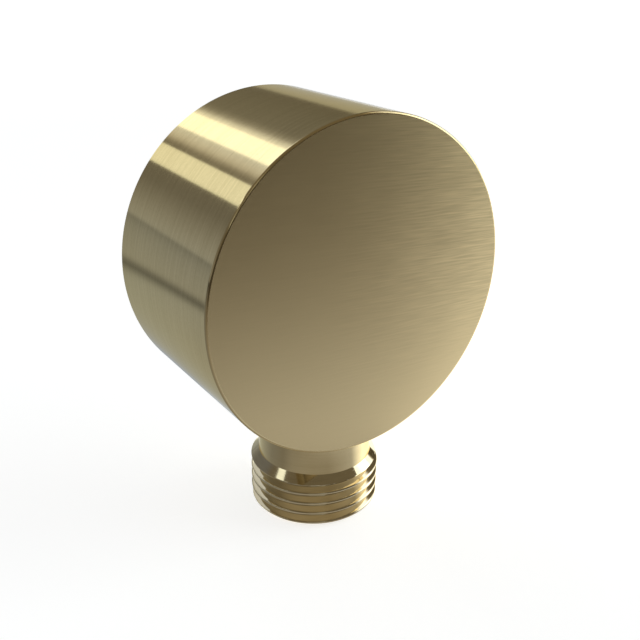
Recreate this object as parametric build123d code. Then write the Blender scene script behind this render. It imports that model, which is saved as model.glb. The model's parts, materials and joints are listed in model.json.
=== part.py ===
from build123d import *

import os
from math import radians, sqrt, tan

# Round wall outlet for a shower hose. A turned brass puck screws onto the supply
# pipe by the threaded inlet in its back. A brass nipple, screwed into the underside
# of the puck down onto a flat washer, carries the male thread for the hose.
# The origin is the middle of the wall face. +Z is up, +Y goes into the wall, and
# the plain front face looks along -Y. All sizes are in millimetres.

# Puck
BODY_DIAMETER = 50.0
BODY_DEPTH = 28.0
FRONT_EDGE_RADIUS = 0.35
BACK_EDGE_CHAMFER = 0.4

# Half-inch parallel pipe thread, shared by the inlet and the outlet
THREAD_MAJOR_DIAMETER = 20.955
THREAD_PITCH = 1.814
THREAD_DEPTH_PER_PITCH = 0.640327
THREAD_FLANK_DEGREES = 27.5
ROOT_FLAT_PER_PITCH = 1 / 6

# Inlet
INLET_THREAD_LENGTH = 13.0
WATERWAY_DIAMETER = 12.0
INLET_MOUTH_MARGIN = 0.2
INLET_MOUTH_DEGREES = 60.0
DRILL_POINT_DEGREES = 59.0

# Outlet nipple, as seen below the puck
OUTLET_FROM_FRONT = 12.5
NECK_LENGTH = 6.2
OUTLET_THREAD_LENGTH = 9.2
THREAD_START_DEGREES = 237.0
THREAD_RUN_OUT = 0.8
TIP_CHAMFER = 0.85
RELIEF_BELOW_ROOT = 0.1
NIPPLE_BORE_DIAMETER = 11.0
BORE_EDGE_CHAMFER = 0.5

# Screwed joint between nipple and puck, with its washer
NECK_SEATING = 0.8
WASHER_THICKNESS = 1.5
SHOULDER_WIDTH = 1.7
SPIGOT_ROOF = 3.0
JOINT_CLEARANCE = 0.05

# Sizes worked out from the ones above
body_radius = BODY_DIAMETER / 2
thread_major_radius = THREAD_MAJOR_DIAMETER / 2
thread_depth = THREAD_DEPTH_PER_PITCH * THREAD_PITCH
thread_minor_radius = thread_major_radius - thread_depth
waterway_radius = WATERWAY_DIAMETER / 2
nipple_bore_radius = NIPPLE_BORE_DIAMETER / 2
neck_radius = thread_minor_radius - RELIEF_BELOW_ROOT
neck_hole_radius = neck_radius + JOINT_CLEARANCE
spigot_radius = neck_radius - SHOULDER_WIDTH
spigot_hole_radius = spigot_radius + JOINT_CLEARANCE

outlet_y = OUTLET_FROM_FRONT - BODY_DEPTH
shoulder_z = NECK_SEATING - sqrt(body_radius**2 - neck_hole_radius**2)
seat_z = shoulder_z + WASHER_THICKNESS
spigot_top_z = -(thread_minor_radius + SPIGOT_ROOF)
neck_end_z = -(body_radius + NECK_LENGTH)
outlet_end_z = neck_end_z - OUTLET_THREAD_LENGTH


def radial_face(points):
    """A face in the plane of X and Z, from (radius, height) points."""
    return make_face(Plane.XZ * Polyline(*points, close=True))


def thread_groove(bottom_z, top_z):
    """The space between the turns of the outlet thread, as a right-hand helical solid."""
    flank_slope = tan(radians(THREAD_FLANK_DEGREES))
    root_half = ROOT_FLAT_PER_PITCH * THREAD_PITCH / 2
    crest_flat = THREAD_PITCH - 2 * root_half - 2 * thread_depth * flank_slope
    overcut = crest_flat / (4 * flank_slope)
    mouth_half = root_half + (thread_depth + overcut) * flank_slope
    mouth_radius = thread_major_radius + overcut
    section = radial_face([
        (thread_minor_radius, -root_half),
        (mouth_radius, -mouth_half),
        (mouth_radius, mouth_half),
        (thread_minor_radius, root_half),
    ])
    path = Helix(THREAD_PITCH, top_z - bottom_z, thread_minor_radius)
    return Pos(0, 0, bottom_z) * sweep(section, path=path, is_frenet=True)


def make_outlet_nipple():
    """The turned nipple: spigot, shoulder, relief neck and hose thread round a through bore."""
    lead_in = thread_major_radius - neck_radius
    blank = revolve(radial_face([
        (nipple_bore_radius + BORE_EDGE_CHAMFER, outlet_end_z),
        (thread_major_radius - TIP_CHAMFER, outlet_end_z),
        (thread_major_radius, outlet_end_z + TIP_CHAMFER),
        (thread_major_radius, neck_end_z - lead_in),
        (neck_radius, neck_end_z),
        (neck_radius, shoulder_z),
        (spigot_radius, shoulder_z),
        (spigot_radius, spigot_top_z),
        (nipple_bore_radius, spigot_top_z),
        (nipple_bore_radius, outlet_end_z + BORE_EDGE_CHAMFER),
    ]), axis=Axis.Z)
    groove = thread_groove(outlet_end_z - THREAD_PITCH, neck_end_z - THREAD_RUN_OUT)
    return Pos(0, outlet_y, 0) * Rot(0, 0, THREAD_START_DEGREES) * (blank - groove)


def make_nipple_washer():
    """The flat washer round the spigot, clamped between the shoulder and the seat in the puck."""
    section = radial_face([
        (spigot_hole_radius, shoulder_z),
        (neck_radius, shoulder_z),
        (neck_radius, seat_z),
        (spigot_hole_radius, seat_z),
    ])
    return Pos(0, outlet_y, 0) * revolve(section, axis=Axis.Z)


def make_body():
    """The puck, with its threaded inlet and the stepped hole for the nipple."""
    bottom_up = (Align.CENTER, Align.CENTER, Align.MIN)
    puck = Rot(90, 0, 0) * Cylinder(body_radius, BODY_DEPTH, align=bottom_up)
    puck = fillet(puck.edges().group_by(Axis.Y)[0], FRONT_EDGE_RADIUS)
    puck = chamfer(puck.edges().group_by(Axis.Y)[-1], BACK_EDGE_CHAMFER)

    mouth_radius = thread_major_radius + INLET_MOUTH_MARGIN
    mouth_depth = (mouth_radius - thread_minor_radius) / tan(radians(INLET_MOUTH_DEGREES))
    pilot_depth = -outlet_y + waterway_radius
    point_depth = waterway_radius / tan(radians(DRILL_POINT_DEGREES))
    inlet = Rot(90, 0, 0) * revolve(radial_face([
        (0, 0),
        (mouth_radius, 0),
        (thread_minor_radius, mouth_depth),
        (thread_minor_radius, INLET_THREAD_LENGTH),
        (waterway_radius, INLET_THREAD_LENGTH),
        (waterway_radius, pilot_depth),
        (0, pilot_depth + point_depth),
    ]), axis=Axis.Z)

    nipple_hole = Pos(0, outlet_y, 0) * revolve(radial_face([
        (0, 0),
        (waterway_radius, 0),
        (waterway_radius, spigot_top_z),
        (spigot_hole_radius, spigot_top_z),
        (spigot_hole_radius, seat_z),
        (neck_hole_radius, seat_z),
        (neck_hole_radius, -body_radius),
        (0, -body_radius),
    ]), axis=Axis.Z)
    return puck - inlet - nipple_hole


def main():
    os.makedirs("parts", exist_ok=True)
    pieces = {
        "body": make_body(),
        "outlet_nipple": make_outlet_nipple(),
        "nipple_washer": make_nipple_washer(),
    }
    for name, piece in pieces.items():
        export_step(piece, f"parts/{name}.step")


main()
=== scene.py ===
import json
from math import cos, pi, radians, sin, tan

import bmesh
import bpy
import numpy as np
from mathutils import Matrix, Vector


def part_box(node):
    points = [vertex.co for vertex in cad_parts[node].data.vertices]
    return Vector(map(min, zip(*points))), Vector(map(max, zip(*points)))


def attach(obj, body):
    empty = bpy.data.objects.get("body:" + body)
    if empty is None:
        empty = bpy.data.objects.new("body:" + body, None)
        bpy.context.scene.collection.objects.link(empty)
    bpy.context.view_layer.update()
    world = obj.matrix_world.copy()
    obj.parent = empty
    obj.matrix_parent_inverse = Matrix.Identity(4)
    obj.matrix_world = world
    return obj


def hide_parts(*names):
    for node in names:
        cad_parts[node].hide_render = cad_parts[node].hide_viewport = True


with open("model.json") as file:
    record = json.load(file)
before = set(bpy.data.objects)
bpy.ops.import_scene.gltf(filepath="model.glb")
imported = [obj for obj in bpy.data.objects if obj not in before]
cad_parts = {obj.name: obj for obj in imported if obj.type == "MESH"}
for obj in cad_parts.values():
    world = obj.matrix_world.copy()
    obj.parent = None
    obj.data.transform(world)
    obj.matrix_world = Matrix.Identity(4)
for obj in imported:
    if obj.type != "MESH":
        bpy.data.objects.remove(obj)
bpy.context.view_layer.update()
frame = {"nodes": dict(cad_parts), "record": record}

MM = 0.001

# Sizes taken from the CAD, in millimetres
body_low, body_high = (np.array(corner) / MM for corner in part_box("body"))
nipple_low, nipple_high = (np.array(corner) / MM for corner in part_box("outlet_nipple"))
washer_low, washer_high = (np.array(corner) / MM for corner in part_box("nipple_washer"))
mounts = {mount["name"]: mount for mount in frame["record"]["mounts"]}

body_radius = body_high[0]
front_y, back_y = body_low[1], body_high[1]
major_radius = nipple_high[0]
minor_radius = mounts["wall_inlet"]["dims"]["r_mm"]
bore_radius = mounts["outlet_waterway"]["dims"]["r_mm"]
neck_radius = washer_high[0]
outlet_y = (nipple_low[1] + nipple_high[1]) / 2
nipple_end_z, spigot_top_z = nipple_low[2], nipple_high[2]
shoulder_z, seat_z = washer_low[2], washer_high[2]

# Small forms that the boxes don't give, in millimetres
FRONT_EDGE_RADIUS = 0.35
BACK_EDGE_CHAMFER = 0.4
THREAD_PITCH = 1.814
THREAD_FLANK = radians(27.5)
THREAD_ROUNDING = 0.137329 * THREAD_PITCH
THREAD_START = radians(237.0)
THREAD_RUN_OUT = 0.8
THREAD_FADE = 0.12
INLET_THREAD_LENGTH = 13.0
INLET_RUN_OUT = 1.6
INLET_MOUTH_RADIUS = major_radius + 0.2
INLET_MOUTH_SLOPE = tan(radians(60))
WATERWAY_RADIUS = 6.0
DRILL_POINT_SLOPE = tan(radians(59))
NECK_END_Z = -31.2
TIP_CHAMFER = 0.85
BORE_EDGE_CHAMFER = 0.5
SHOULDER_WIDTH = 1.7
JOINT_CLEARANCE = 0.05
SUPPORT = 0.03
SLIVER = 0.001

# How finely the meshes are divided, and the angles above which their edges stay sharp
PUCK_SEGMENTS = 256
NIPPLE_SEGMENTS = 192
FRONT_EDGE_STEPS = 8
INLET_ROWS = 145
HOSE_THREAD_ROWS = 205
PUCK_SHARP_DEGREES = 32
NIPPLE_SHARP_DEGREES = 35


# Meshes turned on a lathe
def thread_radius(offset):
    """Radius of a rounded pipe thread, at an offset along its axis from the middle of a crest."""
    u = np.abs((offset + THREAD_PITCH / 2) % THREAD_PITCH - THREAD_PITCH / 2)
    pitch_radius = (major_radius + minor_radius) / 2
    flank = pitch_radius + (THREAD_PITCH / 4 - u) / tan(THREAD_FLANK)
    rounded = THREAD_ROUNDING * cos(THREAD_FLANK)
    crest_reach = np.minimum(u, THREAD_ROUNDING)
    root_reach = np.minimum(THREAD_PITCH / 2 - u, THREAD_ROUNDING)
    crest = major_radius - THREAD_ROUNDING + np.sqrt(THREAD_ROUNDING**2 - crest_reach**2)
    root = minor_radius + THREAD_ROUNDING - np.sqrt(THREAD_ROUNDING**2 - root_reach**2)
    return np.where(u < rounded, crest, np.where(THREAD_PITCH / 2 - u < rounded, root, flank))


def turned(name, rings, segments, axis, centre=0.0, closed=False):
    """A solid turned about Y or Z from rings of (radius, height, finish).

    A radius is one number, or one for each segment.
    """
    turn = np.linspace(0, 2 * pi, segments, endpoint=False)
    points, rows, finishes = [], [], []
    for radius, height, finish in rings:
        pole = np.isscalar(radius) and radius == 0
        angle = turn[:1] if pole else turn
        across, along = radius * np.cos(angle), radius * np.sin(angle)
        level = np.full(len(angle), height)
        place = (across, level, along) if axis == "Y" else (across, along + centre, level)
        rows.append(range(len(points), len(points) + len(angle)))
        points.extend(np.stack(place, axis=1))
        finishes.append(finish)
    faces, slots = [], []
    pairs = list(zip(rows, rows[1:] + rows[:1], finishes))
    for lower, upper, finish in pairs if closed else pairs[:-1]:
        for i in range(segments):
            j = (i + 1) % segments
            below = lower[i % len(lower)], lower[j % len(lower)]
            above = upper[j % len(upper)], upper[i % len(upper)]
            faces.append(list(dict.fromkeys(below + above)))
            slots.append(finish)
    mesh = bpy.data.meshes.new(name)
    mesh.from_pydata(np.array(points) * MM, [], faces)
    mesh.polygons.foreach_set("material_index", slots)
    if axis == "Y":
        mesh.flip_normals()
    piece = bpy.data.objects.new(name, mesh)
    bpy.context.collection.objects.link(piece)
    return piece


def shade(piece, degrees):
    """Smooth shading that keeps edges sharper than an angle."""
    piece.data.shade_smooth()
    piece.data.set_sharp_from_angle(angle=radians(degrees))


# Finishes on the puck: 0 brushed side, 1 brushed front, 2 turned back, 3 machined inside
def make_puck():
    """The puck before drilling, and the stepped drill for the waterway and the nipple."""
    turn = np.linspace(0, 2 * pi, PUCK_SEGMENTS, endpoint=False)
    edge = FRONT_EDGE_RADIUS
    rings = [(0, front_y, 1), (body_radius - edge - SUPPORT, front_y, 1)]
    for swing in np.linspace(0, pi / 2, FRONT_EDGE_STEPS + 1):
        rings.append((body_radius - edge + edge * sin(swing), front_y + edge - edge * cos(swing), 0))
    rings += [
        (body_radius, front_y + edge + SUPPORT, 0),
        (body_radius, back_y - BACK_EDGE_CHAMFER, 0),
        (body_radius - BACK_EDGE_CHAMFER, back_y, 2),
    ]
    for depth in np.linspace(0, INLET_THREAD_LENGTH, INLET_ROWS):
        thread = thread_radius(depth - THREAD_PITCH * turn / (2 * pi))
        fade = min(1, max(0, (INLET_THREAD_LENGTH - depth) / INLET_RUN_OUT))
        mouth = INLET_MOUTH_RADIUS - depth * INLET_MOUTH_SLOPE
        radius = np.maximum(mouth, minor_radius + (thread - minor_radius) * fade)
        rings.append((radius, back_y - depth, 3))
    pilot_y = outlet_y - WATERWAY_RADIUS
    rings += [
        (WATERWAY_RADIUS, back_y - INLET_THREAD_LENGTH, 3),
        (WATERWAY_RADIUS, pilot_y, 3),
        (0, pilot_y - WATERWAY_RADIUS / DRILL_POINT_SLOPE, 3),
    ]
    puck = turned("puck", rings, PUCK_SEGMENTS, "Y")
    neck_hole = neck_radius + JOINT_CLEARANCE
    spigot_hole = neck_hole - SHOULDER_WIDTH
    cross_hole = WATERWAY_RADIUS - SUPPORT
    drill = turned("drill", [
        (0, -body_radius - 1, 3),
        (neck_hole, -body_radius - 1, 3),
        (neck_hole, seat_z, 3),
        (spigot_hole, seat_z, 3),
        (spigot_hole, spigot_top_z, 3),
        (cross_hole, spigot_top_z, 3),
        (cross_hole, 0.0, 3),
        (0, 0.0, 3),
    ], NIPPLE_SEGMENTS, "Z", outlet_y)
    return puck, drill


# Finishes on the nipple: 0 polished thread, 1 satin neck, 2 machined inside
def make_nipple():
    """The nipple with its hose thread, whose groove ends just below the neck."""
    turn = np.linspace(0, 2 * pi, NIPPLE_SEGMENTS, endpoint=False)
    spigot_radius = neck_radius - SHOULDER_WIDTH
    rings = [(bore_radius + BORE_EDGE_CHAMFER, nipple_end_z, 0)]
    for height in np.linspace(nipple_end_z, NECK_END_Z, HOSE_THREAD_ROWS):
        crest = nipple_end_z + THREAD_PITCH / 2 + THREAD_PITCH * (turn - THREAD_START) / (2 * pi)
        groove = crest + THREAD_PITCH * (np.floor((height - crest) / THREAD_PITCH) + 0.5)
        cut = np.clip((NECK_END_Z - THREAD_RUN_OUT - groove) / THREAD_FADE, 0, 1)
        tip = major_radius - TIP_CHAMFER + (height - nipple_end_z)
        lead_in = neck_radius + (NECK_END_Z - height)
        blank = np.minimum(np.minimum(major_radius, tip), lead_in)
        radius = blank - cut * np.maximum(0, blank - thread_radius(height - crest))
        rings.append((radius, height, 0 if height < NECK_END_Z else 1))
    rings += [
        (neck_radius, shoulder_z, 1),
        (spigot_radius, shoulder_z, 2),
        (spigot_radius, spigot_top_z, 2),
        (bore_radius, spigot_top_z, 2),
        (bore_radius, nipple_end_z + BORE_EDGE_CHAMFER, 2),
    ]
    return turned("threaded_nipple", rings, NIPPLE_SEGMENTS, "Z", outlet_y, closed=True)


# Node trees
class Tree:
    """A node tree with short calls to add and join nodes."""

    def __init__(self, tree):
        self.tree = tree
        tree.nodes.clear()

    def add(self, kind, values=None, **settings):
        node = self.tree.nodes.new(kind)
        for key, value in settings.items():
            setattr(node, key, value)
        for socket, value in (values or {}).items():
            if isinstance(value, bpy.types.NodeSocket):
                self.tree.links.new(value, node.inputs[socket])
            else:
                node.inputs[socket].default_value = value
        return node

    def math(self, operation, a, b=0.0, clamp=False):
        return self.add("ShaderNodeMath", {0: a, 1: b}, operation=operation, use_clamp=clamp).outputs[0]

    def span(self, value, low, high, start, end, smooth=False):
        kind = "SMOOTHSTEP" if smooth else "LINEAR"
        values = {"Value": value, "From Min": low, "From Max": high, "To Min": start, "To Max": end}
        return self.add("ShaderNodeMapRange", values, interpolation_type=kind).outputs["Result"]

    def noise(self, vector, size, detail, turn=0.0):
        """Noise whose patches have a size in millimetres along each axis, turned about Y."""
        scale = tuple(value * MM for value in size)
        values = {"Vector": vector, "Rotation": (0, radians(turn), 0), "Scale": scale}
        moved = self.add("ShaderNodeMapping", values, vector_type="TEXTURE").outputs[0]
        values = {"Vector": moved, "Scale": 1.0, "Detail": detail}
        return self.add("ShaderNodeTexNoise", values).outputs["Fac"]

    def tint(self, factor, first, second):
        values = {0: factor, 6: (*first, 1), 7: (*second, 1)}
        return self.add("ShaderNodeMix", values, data_type="RGBA").outputs[2]

    def seen(self):
        """1 for what the camera, a mirror or glass sees, 0 for light on a matt surface."""
        path = self.add("ShaderNodeLightPath").outputs
        mirrored = self.math("MAXIMUM", path["Is Camera Ray"], path["Is Glossy Ray"])
        return self.math("MAXIMUM", mirrored, path["Is Transmission Ray"])


# Part of the front face over which the contrast of its streaks grows, painting glints of light on them,
# in millimetres
GLINT_LEFT, GLINT_RIGHT = -8, 25
GLINT_LOW, GLINT_HIGH = -18, 2


def brass(name, tones, roughness, grain, depth, axis, stretch,
          turn=0.0, cloud=5.0, contrast=3.3, edge=0.0, bias=0.5, rings=False):
    """Worked brass, with tones for its marks, and highlights that stretch across them.

    Grain is the size of the marks along each axis, in millimetres, and turn their slope. With
    an edge, their contrast grows towards the upper right, which paints glints of light on the
    marks there. Rings lays them in circles. Bias is the share of the second tone.
    """
    material = bpy.data.materials.new(name)
    material.use_nodes = True
    tree = Tree(material.node_tree)
    place = tree.add("ShaderNodeTexCoord").outputs["Object"]
    if rings:
        flat = tree.add("ShaderNodeVectorMath", {0: place, 1: (1, 0, 1)}, operation="MULTIPLY").outputs[0]
        radius = tree.add("ShaderNodeVectorMath", {0: flat}, operation="LENGTH").outputs["Value"]
        place = tree.add("ShaderNodeCombineXYZ", {0: radius}).outputs[0]
    fine = tree.noise(place, grain, 1.0, turn)
    broad = tree.noise(place, tuple(value * 3 for value in grain), 1.0, turn)
    clouds = tree.noise(place, (cloud, cloud, cloud), 4.0)
    lines = tree.math("ADD", tree.math("MULTIPLY", fine, 0.8), tree.math("MULTIPLY", broad, 0.2))
    patch = tree.math("ADD", tree.math("MULTIPLY", lines, 0.7), tree.math("MULTIPLY", clouds, 0.3))
    # Painted glints: the marks gain contrast towards the upper right.
    if edge:
        across, _, up = tree.add("ShaderNodeSeparateXYZ", {0: place}).outputs
        edge = tree.span(up, GLINT_LOW * MM, GLINT_HIGH * MM, contrast, edge)
        contrast = tree.span(across, GLINT_LEFT * MM, GLINT_RIGHT * MM, contrast, edge)
    lift = tree.math("MULTIPLY", tree.math("SUBTRACT", patch, 0.5), contrast)
    marks = tree.math("ADD", lift, bias, clamp=True)
    colour = tree.tint(marks, *tones)
    rough = tree.span(patch, 0.3, 0.7, roughness * 0.92, roughness * 1.08)
    bump = tree.add("ShaderNodeBump", {"Strength": 1.0, "Distance": depth * MM, "Height": broad})
    values = {
        "Base Color": colour,
        "Metallic": 1.0,
        "Roughness": rough,
        "Normal": bump.outputs[0],
        "Specular Tint": (1.0, 0.88, 0.62, 1),
        "Anisotropic": stretch,
        "Anisotropic Rotation": 0.25,
    }
    if stretch:
        values["Tangent"] = tree.add("ShaderNodeTangent", direction_type="RADIAL", axis=axis).outputs[0]
    shader = tree.add("ShaderNodeBsdfPrincipled", values)
    tree.add("ShaderNodeOutputMaterial", {"Surface": shader.outputs[0]})
    return material


def rubber():
    material = bpy.data.materials.new("seal_rubber")
    material.use_nodes = True
    tree = Tree(material.node_tree)
    place = tree.add("ShaderNodeTexCoord").outputs["Object"]
    grain = tree.noise(place, (0.6, 0.6, 0.6), 3.0)
    colour = tree.tint(grain, (0.012, 0.012, 0.013), (0.03, 0.03, 0.031))
    bump = tree.add("ShaderNodeBump", {"Strength": 0.4, "Distance": 0.02 * MM, "Height": grain})
    rough = tree.span(grain, 0.3, 0.7, 0.5, 0.65)
    values = {"Base Color": colour, "Roughness": rough, "Normal": bump.outputs[0]}
    shader = tree.add("ShaderNodeBsdfPrincipled", values)
    tree.add("ShaderNodeOutputMaterial", {"Surface": shader.outputs[0]})
    return material


# Dark and light tone of each metal
gold = (0.69, 0.55, 0.295), (0.75, 0.60, 0.335)
pale = (0.66, 0.56, 0.37), (0.73, 0.62, 0.41)
worn = (0.60, 0.475, 0.25), (0.84, 0.675, 0.38)
# The face's light tone is partly painted glint on its brush streaks.
streaks_and_glints = (0.67, 0.53, 0.288), (0.92, 0.735, 0.41)

# Finishes
side_metal = brass("brushed_side", worn, 0.11, (14, 0.25, 14), 0.0004, "Y", 0.6, cloud=0.5, contrast=1.3)
# The face's brush streaks carry painted glints that grow towards the upper right.
face_metal = brass("brushed_face", streaks_and_glints, 0.3, (5.5, 1, 0.26), 0.0008, "Z", 0.78,
                   turn=3.0, cloud=40.0, contrast=0.3, edge=3.8, bias=0.2)
back_metal = brass("turned_back", gold, 0.28, (0.15, 1, 1), 0.002, "Y", 0.8, rings=True)
inlet_metal = brass("machined_inlet", gold, 0.26, (12, 0.3, 12), 0.002, "Y", 0)
thread_metal = brass("polished_thread", pale, 0.07, (3, 3, 0.3), 0.0002, "Z", 0)
neck_metal = brass("satin_neck", gold, 0.16, (12, 12, 0.1), 0.0002, "Z", 0.5)
bore_metal = brass("machined_bore", gold, 0.26, (12, 12, 0.3), 0.002, "Z", 0)

# Puck, drilled and freed of slivers
puck, drill = make_puck()
cut = puck.modifiers.new("nipple_hole", "BOOLEAN")
cut.operation, cut.solver, cut.object = "DIFFERENCE", "EXACT", drill
for material in (side_metal, face_metal, back_metal, inlet_metal):
    puck.data.materials.append(material)
    drill.data.materials.append(material)
drilled = bpy.data.meshes.new_from_object(puck.evaluated_get(bpy.context.evaluated_depsgraph_get()))
puck.modifiers.remove(cut)
bpy.data.objects.remove(drill)
cleaned = bmesh.new()
cleaned.from_mesh(drilled)
bmesh.ops.dissolve_degenerate(cleaned, dist=SLIVER * MM, edges=cleaned.edges[:])
cleaned.to_mesh(drilled)
cleaned.free()
puck.data = drilled
shade(puck, PUCK_SHARP_DEGREES)

# Nipple and washer
nipple = make_nipple()
for material in (thread_metal, neck_metal, bore_metal):
    nipple.data.materials.append(material)
shade(nipple, NIPPLE_SHARP_DEGREES)

washer = frame["nodes"]["nipple_washer"]
washer.data.materials.clear()
washer.data.materials.append(rubber())

for piece, node, slot in ((puck, "body", "brushed_brass"), (nipple, "outlet_nipple", "turned_brass")):
    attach(piece, "root")
    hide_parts(node)

# Floor, with enough glow of its own to look white, sizes in metres
FLOOR_SIZE = 40
FLOOR_GLOW = 0.68
GLOW_GROWS_FROM, GLOW_GROWS_TO = 0.3, 1.2
bpy.ops.mesh.primitive_plane_add(size=FLOOR_SIZE, location=(0, 0, nipple_end_z * MM))
floor = bpy.context.object
floor.name = "floor"
floor_material = bpy.data.materials.new("pale_floor")
floor_material.use_nodes = True
floor_tree = Tree(floor_material.node_tree)
paper = floor_tree.add("ShaderNodeBsdfDiffuse", {"Color": (0.92, 0.92, 0.92, 1)})
place = floor_tree.add("ShaderNodeTexCoord").outputs["Object"]
away = floor_tree.add("ShaderNodeVectorMath", {0: place}, operation="LENGTH").outputs["Value"]
whiter = floor_tree.span(away, GLOW_GROWS_FROM, GLOW_GROWS_TO, FLOOR_GLOW, 1.0, smooth=True)
strength = floor_tree.math("MULTIPLY", floor_tree.seen(), whiter)
glow = floor_tree.add("ShaderNodeEmission", {"Strength": strength})
lit = floor_tree.add("ShaderNodeAddShader", {0: paper.outputs[0], 1: glow.outputs[0]})
floor_tree.add("ShaderNodeOutputMaterial", {"Surface": lit.outputs[0]})
floor.data.materials.append(floor_material)


# Lights, sizes in metres
LAMP_TURN = radians(9)
LAMP_COLOUR = (0.93, 1.03, 1.04)
LAMP_DISTANCE = 1.5


def softbox(name, place, aim, width, height, radiance):
    """A rectangular lamp whose surface looks as bright as radiance."""
    lamp = bpy.data.lights.new(name, "AREA")
    lamp.shape = "RECTANGLE"
    lamp.size, lamp.size_y = width, height
    lamp.energy = radiance * pi * width * height
    lamp.color = LAMP_COLOUR
    box = bpy.data.objects.new(name, lamp)
    bpy.context.collection.objects.link(box)
    box.location = place
    facing = (Vector(place) - Vector(aim)).normalized()
    length = Vector((0, 1, 0)) if abs(facing.y) < 0.3 else Vector((0, 0, 1))
    across = length.cross(facing).normalized()
    upward = facing.cross(across)
    box.matrix_world = Matrix.Translation(place) @ Matrix((across, upward, facing)).transposed().to_4x4()
    return box


def overhead(name, degrees, spread, radiance, start, end=5.0):
    """A long lamp that runs front to back over the object, at an angle round the line of the lamps."""
    angle = radians(degrees)
    middle = (start + end) / 2
    place = Vector((LAMP_DISTANCE * cos(angle), middle, LAMP_DISTANCE * sin(angle)))
    width = 2 * LAMP_DISTANCE * tan(radians(spread) / 2)
    box = softbox(name, place, (0, middle, 0), width, end - start, radiance)
    box.matrix_world = Matrix.Rotation(-LAMP_TURN, 4, "Z") @ box.matrix_world


for place, start, end, power in (("back", 1.1, 5.0, 0.92), ("front", -5.0, -1.6, 0.4)):
    overhead("top_lamp_" + place, 106.0, 16.0, power, start=start, end=end)
    overhead("left_lamp_" + place, 136.8, 14.2, power, start=start, end=end)
overhead("left_lamp_middle", 137.5, 4.6, 1.25, start=-0.3, end=1.1)
overhead("back_panel", 16, 38, 0.31, start=1.1)
softbox("right_lamp", (0.447, -0.239, 0.13), (0, -0.0155, 0.0), 0.33, 0.34, 1.9)


# Grey tent round the set, seen only in reflections, sizes in millimetres
TENT_RADIUS = 8000
TENT_ABOVE_FLOOR = 0.2


def smooth(value, low, high):
    """A soft step from 0 at low to 1 at high."""
    step = np.clip((value - low) / (high - low), 0, 1)
    return step * step * (3 - 2 * step)


def floor_tone(turn, reach):
    """Brightness and coolness of the floor, by direction from the nipple and distance in millimetres."""
    level = np.interp(turn, [-180, -140, -110, 0, 20, 36, 45, 55, 75, 110, 130, 150, 170],
                      [0.38, 0.36, 0.2, 0.28, 0.31, 0.38, 0.55, 1.15, 1.6, 2.0, 1.0, 0.7, 0.4])
    fall = np.interp(turn, [-130, -60, 0, 60, 120], [0.04, 0.06, 0.5, 0.42, 0.04])
    level = np.clip(level + fall * np.log(104 / reach), 0.06, 2.0)
    streak = np.exp(-((np.log(reach / 155) / 0.13) ** 2))
    level -= 0.2 * streak * np.interp(turn, [-175, -165, -135, -125], [0, 1, 1, 0])
    near = np.interp(turn, [-180, -155, -135, -114, -88, -72, -52, -10, 34, 49, 65, 90, 150],
                     [0.7, 0.45, 0.34, 0.24, 0.22, 0.3, 0.33, 0.31, 0.5, 1.2, 1.8, 1.5, 1.3])
    level = near + (level - near) * smooth(reach, 26, 42)
    sides = np.interp(turn, [-150, -90, 60, 150], [1.2, 0, 0.2, 1])
    sides *= 1 + 0.25 * smooth(-reach, -170, -120)
    front = np.interp(level, [0.15, 0.5], [-0.8, 0.4])
    level *= 1 + 0.35 * smooth(-reach, -23, -17)
    return level, sides + (front - sides) * np.interp(turn, [-80, -40, 60, 90], [0, 1, 1, 0])


def sky_tone(across, along, up):
    """Brightness and coolness of the tent by direction.

    Bands run along the lamps behind, the front is dark and warm, and a bright window stands at the right.
    """
    round_lamps = np.degrees(np.arctan2(up, across * cos(LAMP_TURN) - along * sin(LAMP_TURN)))
    stops = [0, 37, 87, 92, 96.5, 99, 114, 119, 122, 125, 129, 154, 161, 172, 180]
    tones = [0.15, 0.15, 0.21, 0.42, 1.1, 0.8, 0.76, 0.73, 0.62, 0.32, 0.17, 0.18, 0.23, 0.32, 0.37]
    level = np.interp(round_lamps, stops, tones)
    cool = np.interp(round_lamps, [30, 60, 88, 96, 114, 126, 154, 180],
                     [0.1, 0.4, 0.4, 0.9, 1, 0, 0.3, 1.1])
    behind = np.maximum(smooth(along, 0.35, 0.65), 0.6 * smooth(-across, 0.6, 0.9))
    front = np.interp(up, [0, 0.6], [0.09, 0.165])
    window = smooth(across, 0.5, 0.68) * smooth(up, 0, 0.1)
    window *= smooth(along, -0.42, -0.28) * smooth(-along, -0.09, -0.03)
    level, cool = front + (level - front) * behind, -1.2 + (cool + 1.2) * behind
    return level + (1.7 - level) * window, cool + (0.6 - cool) * window


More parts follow.
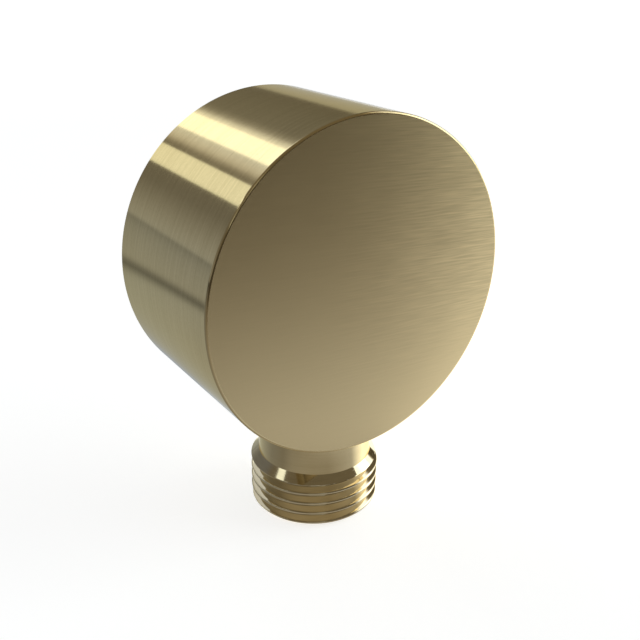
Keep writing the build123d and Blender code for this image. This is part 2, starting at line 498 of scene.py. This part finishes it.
def grey_tent():
    turn = np.arange(-180, 180, 2.0)
    reach = np.geomspace(1, TENT_RADIUS, 110)
    rise = np.radians(np.arange(1, 91, 1.5))
    east, front = np.sin(np.radians(turn)), -np.cos(np.radians(turn))
    rows = []
    for distance in reach:
        rows.append((distance * east, distance * front, 0 * east, *floor_tone(turn, distance)))
    for angle in rise:
        x, y, z = cos(angle) * east, cos(angle) * front, np.full(len(turn), sin(angle))
        rows.append((TENT_RADIUS * x, TENT_RADIUS * y, TENT_RADIUS * z, *sky_tone(x, y, z)))
    x, y, z, level, cool = np.moveaxis(np.array(rows), 1, 0)
    points = np.stack([x, y + outlet_y, z + nipple_end_z + TENT_ABOVE_FLOOR], axis=-1) * MM
    green, blue = level * (1 + 0.12 * cool), level * (1 + 0.34 * cool)
    colour = np.stack([level, green, blue, np.ones_like(level)], axis=-1)
    index = np.arange(level.size).reshape(level.shape)
    beside = np.roll(index, -1, axis=1)
    faces = np.stack([index[:-1], beside[:-1], beside[1:], index[1:]], axis=-1).reshape(-1, 4)
    mesh = bpy.data.meshes.new("grey_tent")
    mesh.from_pydata(points.reshape(-1, 3), [], faces.tolist())
    mesh.attributes.new("tone", "FLOAT_COLOR", "POINT").data.foreach_set("color", colour.ravel())
    material = bpy.data.materials.new("grey_tent")
    material.use_nodes = True
    material.cycles.emission_sampling = "NONE"
    tree = Tree(material.node_tree)
    tone = tree.add("ShaderNodeAttribute", attribute_name="tone").outputs["Color"]
    glow = tree.add("ShaderNodeEmission", {"Color": tone})
    tree.add("ShaderNodeOutputMaterial", {"Surface": glow.outputs[0]})
    mesh.materials.append(material)
    tent = bpy.data.objects.new("grey_tent", mesh)
    bpy.context.collection.objects.link(tent)
    tent.visible_camera = tent.visible_diffuse = False
    tent.visible_shadow = tent.visible_transmission = False


grey_tent()

# White backdrop, and plain grey light from it
WORLD_LIGHT = 0.25
world = bpy.data.worlds.new("studio")
bpy.context.scene.world = world
world.use_nodes = True
sky = Tree(world.node_tree)
backdrop = sky.add("ShaderNodeBackground", {"Strength": sky.span(sky.seen(), 0, 1, WORLD_LIGHT, 1)})
sky.add("ShaderNodeOutputWorld", {"Surface": backdrop.outputs[0]})
backdrop.inputs["Color"].default_value = (1, 1, 1, 1)

# Camera at the photo's angle
azimuth, elevation, roll = radians(-34.069), radians(23.461), radians(0.944)
aim = Vector((0.018, -16.547, -8.435)) * MM
distance = 130.292 * MM
back = Vector((sin(azimuth) * cos(elevation), -cos(azimuth) * cos(elevation), sin(elevation)))
level = Vector((cos(azimuth), sin(azimuth), 0))
rise = back.cross(level)
right = level * cos(roll) + rise * sin(roll)
up = rise * cos(roll) - level * sin(roll)
lens = bpy.data.cameras.new("camera")
lens.sensor_width = 36.0
lens.lens = 47.37
lens.clip_start = 0.005
camera = bpy.data.objects.new("camera", lens)
bpy.context.collection.objects.link(camera)
turned_to_aim = Matrix((right, up, back)).transposed().to_4x4()
camera.matrix_world = Matrix.Translation(aim + back * distance) @ turned_to_aim
bpy.context.scene.camera = camera
bpy.context.scene.view_settings.view_transform = "Standard"
